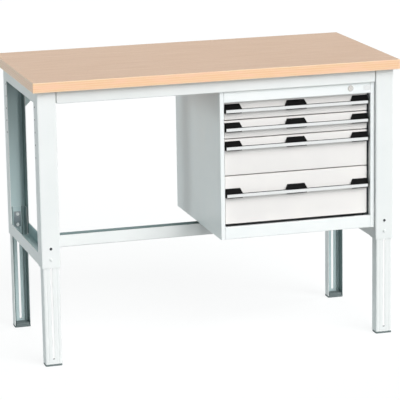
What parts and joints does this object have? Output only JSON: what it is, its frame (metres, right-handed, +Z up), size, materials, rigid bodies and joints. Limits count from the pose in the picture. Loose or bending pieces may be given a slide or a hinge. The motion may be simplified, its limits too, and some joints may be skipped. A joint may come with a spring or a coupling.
{
  "type": "height-adjustable workbench with drawer cabinet",
  "caption": "Steel workbench on telescopic legs with a thick beech top and a hanging cabinet of drawers at one end.",
  "frame": {"origin": "on the floor under the middle of the worktop", "axes": "+X along the bench to the user's right, -Y towards the user, +Z up"},
  "size_m": [1.5, 0.75, 1.14],
  "materials": {
    "worktop": "lacquered beech multiplex",
    "upper_leg": "light grey powder coat",
    "inner_leg": "light grey powder coat",
    "foot": "grey moulded plastic",
    "clamp": "zinc plated steel",
    "side_rail": "light grey powder coat",
    "cross_rail": "light grey powder coat",
    "stretcher": "light grey powder coat",
    "cabinet_side": "light grey powder coat",
    "cabinet_shell": "light grey powder coat",
    "cabinet_front": "light grey powder coat",
    "drawer_front": "light grey powder coat",
    "drawer_box": "light grey powder coat",
    "slide": "zinc plated steel",
    "handle_bar": "natural anodised",
    "handle_grips": "black moulded plastic",
    "lock_cylinder": "nickel plated",
    "lock_bar": "black zinc"
  },
  "bodies": {
    "frame": {"worktop": "worktop", "upper_leg_front_left": "upper_leg", "clamp_front_left": "clamp", "upper_leg_front_right": "upper_leg", "clamp_front_right": "clamp", "upper_leg_rear_left": "upper_leg", "clamp_rear_left": "clamp", "upper_leg_rear_right": "upper_leg", "clamp_rear_right": "clamp", "top_side_rail_left": "side_rail", "bottom_side_rail_left": "side_rail", "cabinet_side_left": "cabinet_side", "slide_rack_left": "slide", "top_side_rail_right": "side_rail", "bottom_side_rail_right": "side_rail", "cabinet_side_right": "cabinet_side", "slide_rack_right": "slide", "front_top_rail": "cross_rail", "rear_top_rail": "cross_rail", "stretcher": "stretcher", "cabinet_back": "cabinet_shell", "cabinet_top": "cabinet_shell", "cabinet_bottom": "cabinet_front", "cabinet_fascia": "cabinet_front"},
    "leg_front_left": {"inner_leg_front_left": "inner_leg", "foot_front_left": "foot"},
    "leg_front_right": {"inner_leg_front_right": "inner_leg", "foot_front_right": "foot"},
    "leg_rear_left": {"inner_leg_rear_left": "inner_leg", "foot_rear_left": "foot"},
    "leg_rear_right": {"inner_leg_rear_right": "inner_leg", "foot_rear_right": "foot"},
    "drawer_1": {"drawer_box_1": "drawer_box", "drawer_front_1": "drawer_front", "handle_bar_1": "handle_bar", "handle_grips_1": "handle_grips"},
    "slide_left_1": {"slide_bar_left_1": "slide"},
    "slide_right_1": {"slide_bar_right_1": "slide"},
    "drawer_2": {"drawer_box_2": "drawer_box", "drawer_front_2": "drawer_front", "handle_bar_2": "handle_bar", "handle_grips_2": "handle_grips"},
    "slide_left_2": {"slide_bar_left_2": "slide"},
    "slide_right_2": {"slide_bar_right_2": "slide"},
    "drawer_3": {"drawer_box_3": "drawer_box", "drawer_front_3": "drawer_front", "handle_bar_3": "handle_bar", "handle_grips_3": "handle_grips"},
    "slide_left_3": {"slide_bar_left_3": "slide"},
    "slide_right_3": {"slide_bar_right_3": "slide"},
    "drawer_4": {"drawer_box_4": "drawer_box", "drawer_front_4": "drawer_front", "handle_bar_4": "handle_bar", "handle_grips_4": "handle_grips"},
    "slide_left_4": {"slide_bar_left_4": "slide"},
    "slide_right_4": {"slide_bar_right_4": "slide"},
    "lock": {"lock_cylinder": "lock_cylinder"},
    "lock_bar": {"lock_bar": "lock_bar"}
  },
  "joints": [
    {"name": "leg_front_left_slide", "type": "slide", "parent": "frame", "child": "leg_front_left", "axis": [0, 0, 1], "range_m": [0, 0.4]},
    {"name": "leg_front_right_slide", "type": "slide", "parent": "frame", "child": "leg_front_right", "axis": [0, 0, 1], "range_m": [0, 0.4]},
    {"name": "leg_rear_left_slide", "type": "slide", "parent": "frame", "child": "leg_rear_left", "axis": [0, 0, 1], "range_m": [0, 0.4]},
    {"name": "leg_rear_right_slide", "type": "slide", "parent": "frame", "child": "leg_rear_right", "axis": [0, 0, 1], "range_m": [0, 0.4]},
    {"name": "drawer_1_slide", "type": "slide", "parent": "frame", "child": "drawer_1", "axis": [0, -1, 0], "range_m": [0, 0.56]},
    {"name": "slide_left_1_travel", "type": "slide", "parent": "frame", "child": "slide_left_1", "axis": [0, -1, 0], "range_m": [0, 0.28]},
    {"name": "slide_right_1_travel", "type": "slide", "parent": "frame", "child": "slide_right_1", "axis": [0, -1, 0], "range_m": [0, 0.28]},
    {"name": "drawer_2_slide", "type": "slide", "parent": "frame", "child": "drawer_2", "axis": [0, -1, 0], "range_m": [0, 0.56]},
    {"name": "slide_left_2_travel", "type": "slide", "parent": "frame", "child": "slide_left_2", "axis": [0, -1, 0], "range_m": [0, 0.28]},
    {"name": "slide_right_2_travel", "type": "slide", "parent": "frame", "child": "slide_right_2", "axis": [0, -1, 0], "range_m": [0, 0.28]},
    {"name": "drawer_3_slide", "type": "slide", "parent": "frame", "child": "drawer_3", "axis": [0, -1, 0], "range_m": [0, 0.56]},
    {"name": "slide_left_3_travel", "type": "slide", "parent": "frame", "child": "slide_left_3", "axis": [0, -1, 0], "range_m": [0, 0.28]},
    {"name": "slide_right_3_travel", "type": "slide", "parent": "frame", "child": "slide_right_3", "axis": [0, -1, 0], "range_m": [0, 0.28]},
    {"name": "drawer_4_slide", "type": "slide", "parent": "frame", "child": "drawer_4", "axis": [0, -1, 0], "range_m": [0, 0.56]},
    {"name": "slide_left_4_travel", "type": "slide", "parent": "frame", "child": "slide_left_4", "axis": [0, -1, 0], "range_m": [0, 0.28]},
    {"name": "slide_right_4_travel", "type": "slide", "parent": "frame", "child": "slide_right_4", "axis": [0, -1, 0], "range_m": [0, 0.28]},
    {"name": "lock_turn", "type": "hinge", "parent": "frame", "child": "lock", "pos_m": [0.553, -0.339, 1.0287], "axis": [0, 1, 0], "range_deg": [0, 90]},
    {"name": "lock_bar_slide", "type": "slide", "parent": "frame", "child": "lock_bar", "axis": [0, 0, -1], "range_m": [0, 0.006]}
  ],
  "couplings": [
    {"joint": "leg_front_right_slide", "follows": "leg_front_left_slide", "ratio": 1},
    {"joint": "leg_rear_left_slide", "follows": "leg_front_left_slide", "ratio": 1},
    {"joint": "leg_rear_right_slide", "follows": "leg_front_left_slide", "ratio": 1},
    {"joint": "slide_left_1_travel", "follows": "drawer_1_slide", "ratio": 0.5},
    {"joint": "slide_right_1_travel", "follows": "drawer_1_slide", "ratio": 0.5},
    {"joint": "slide_left_2_travel", "follows": "drawer_2_slide", "ratio": 0.5},
    {"joint": "slide_right_2_travel", "follows": "drawer_2_slide", "ratio": 0.5},
    {"joint": "slide_left_3_travel", "follows": "drawer_3_slide", "ratio": 0.5},
    {"joint": "slide_right_3_travel", "follows": "drawer_3_slide", "ratio": 0.5},
    {"joint": "slide_left_4_travel", "follows": "drawer_4_slide", "ratio": 0.5},
    {"joint": "slide_right_4_travel", "follows": "drawer_4_slide", "ratio": 0.5},
    {"joint": "lock_turn", "follows": "lock_bar_slide", "rad_per_m": 261.8}
  ]
}
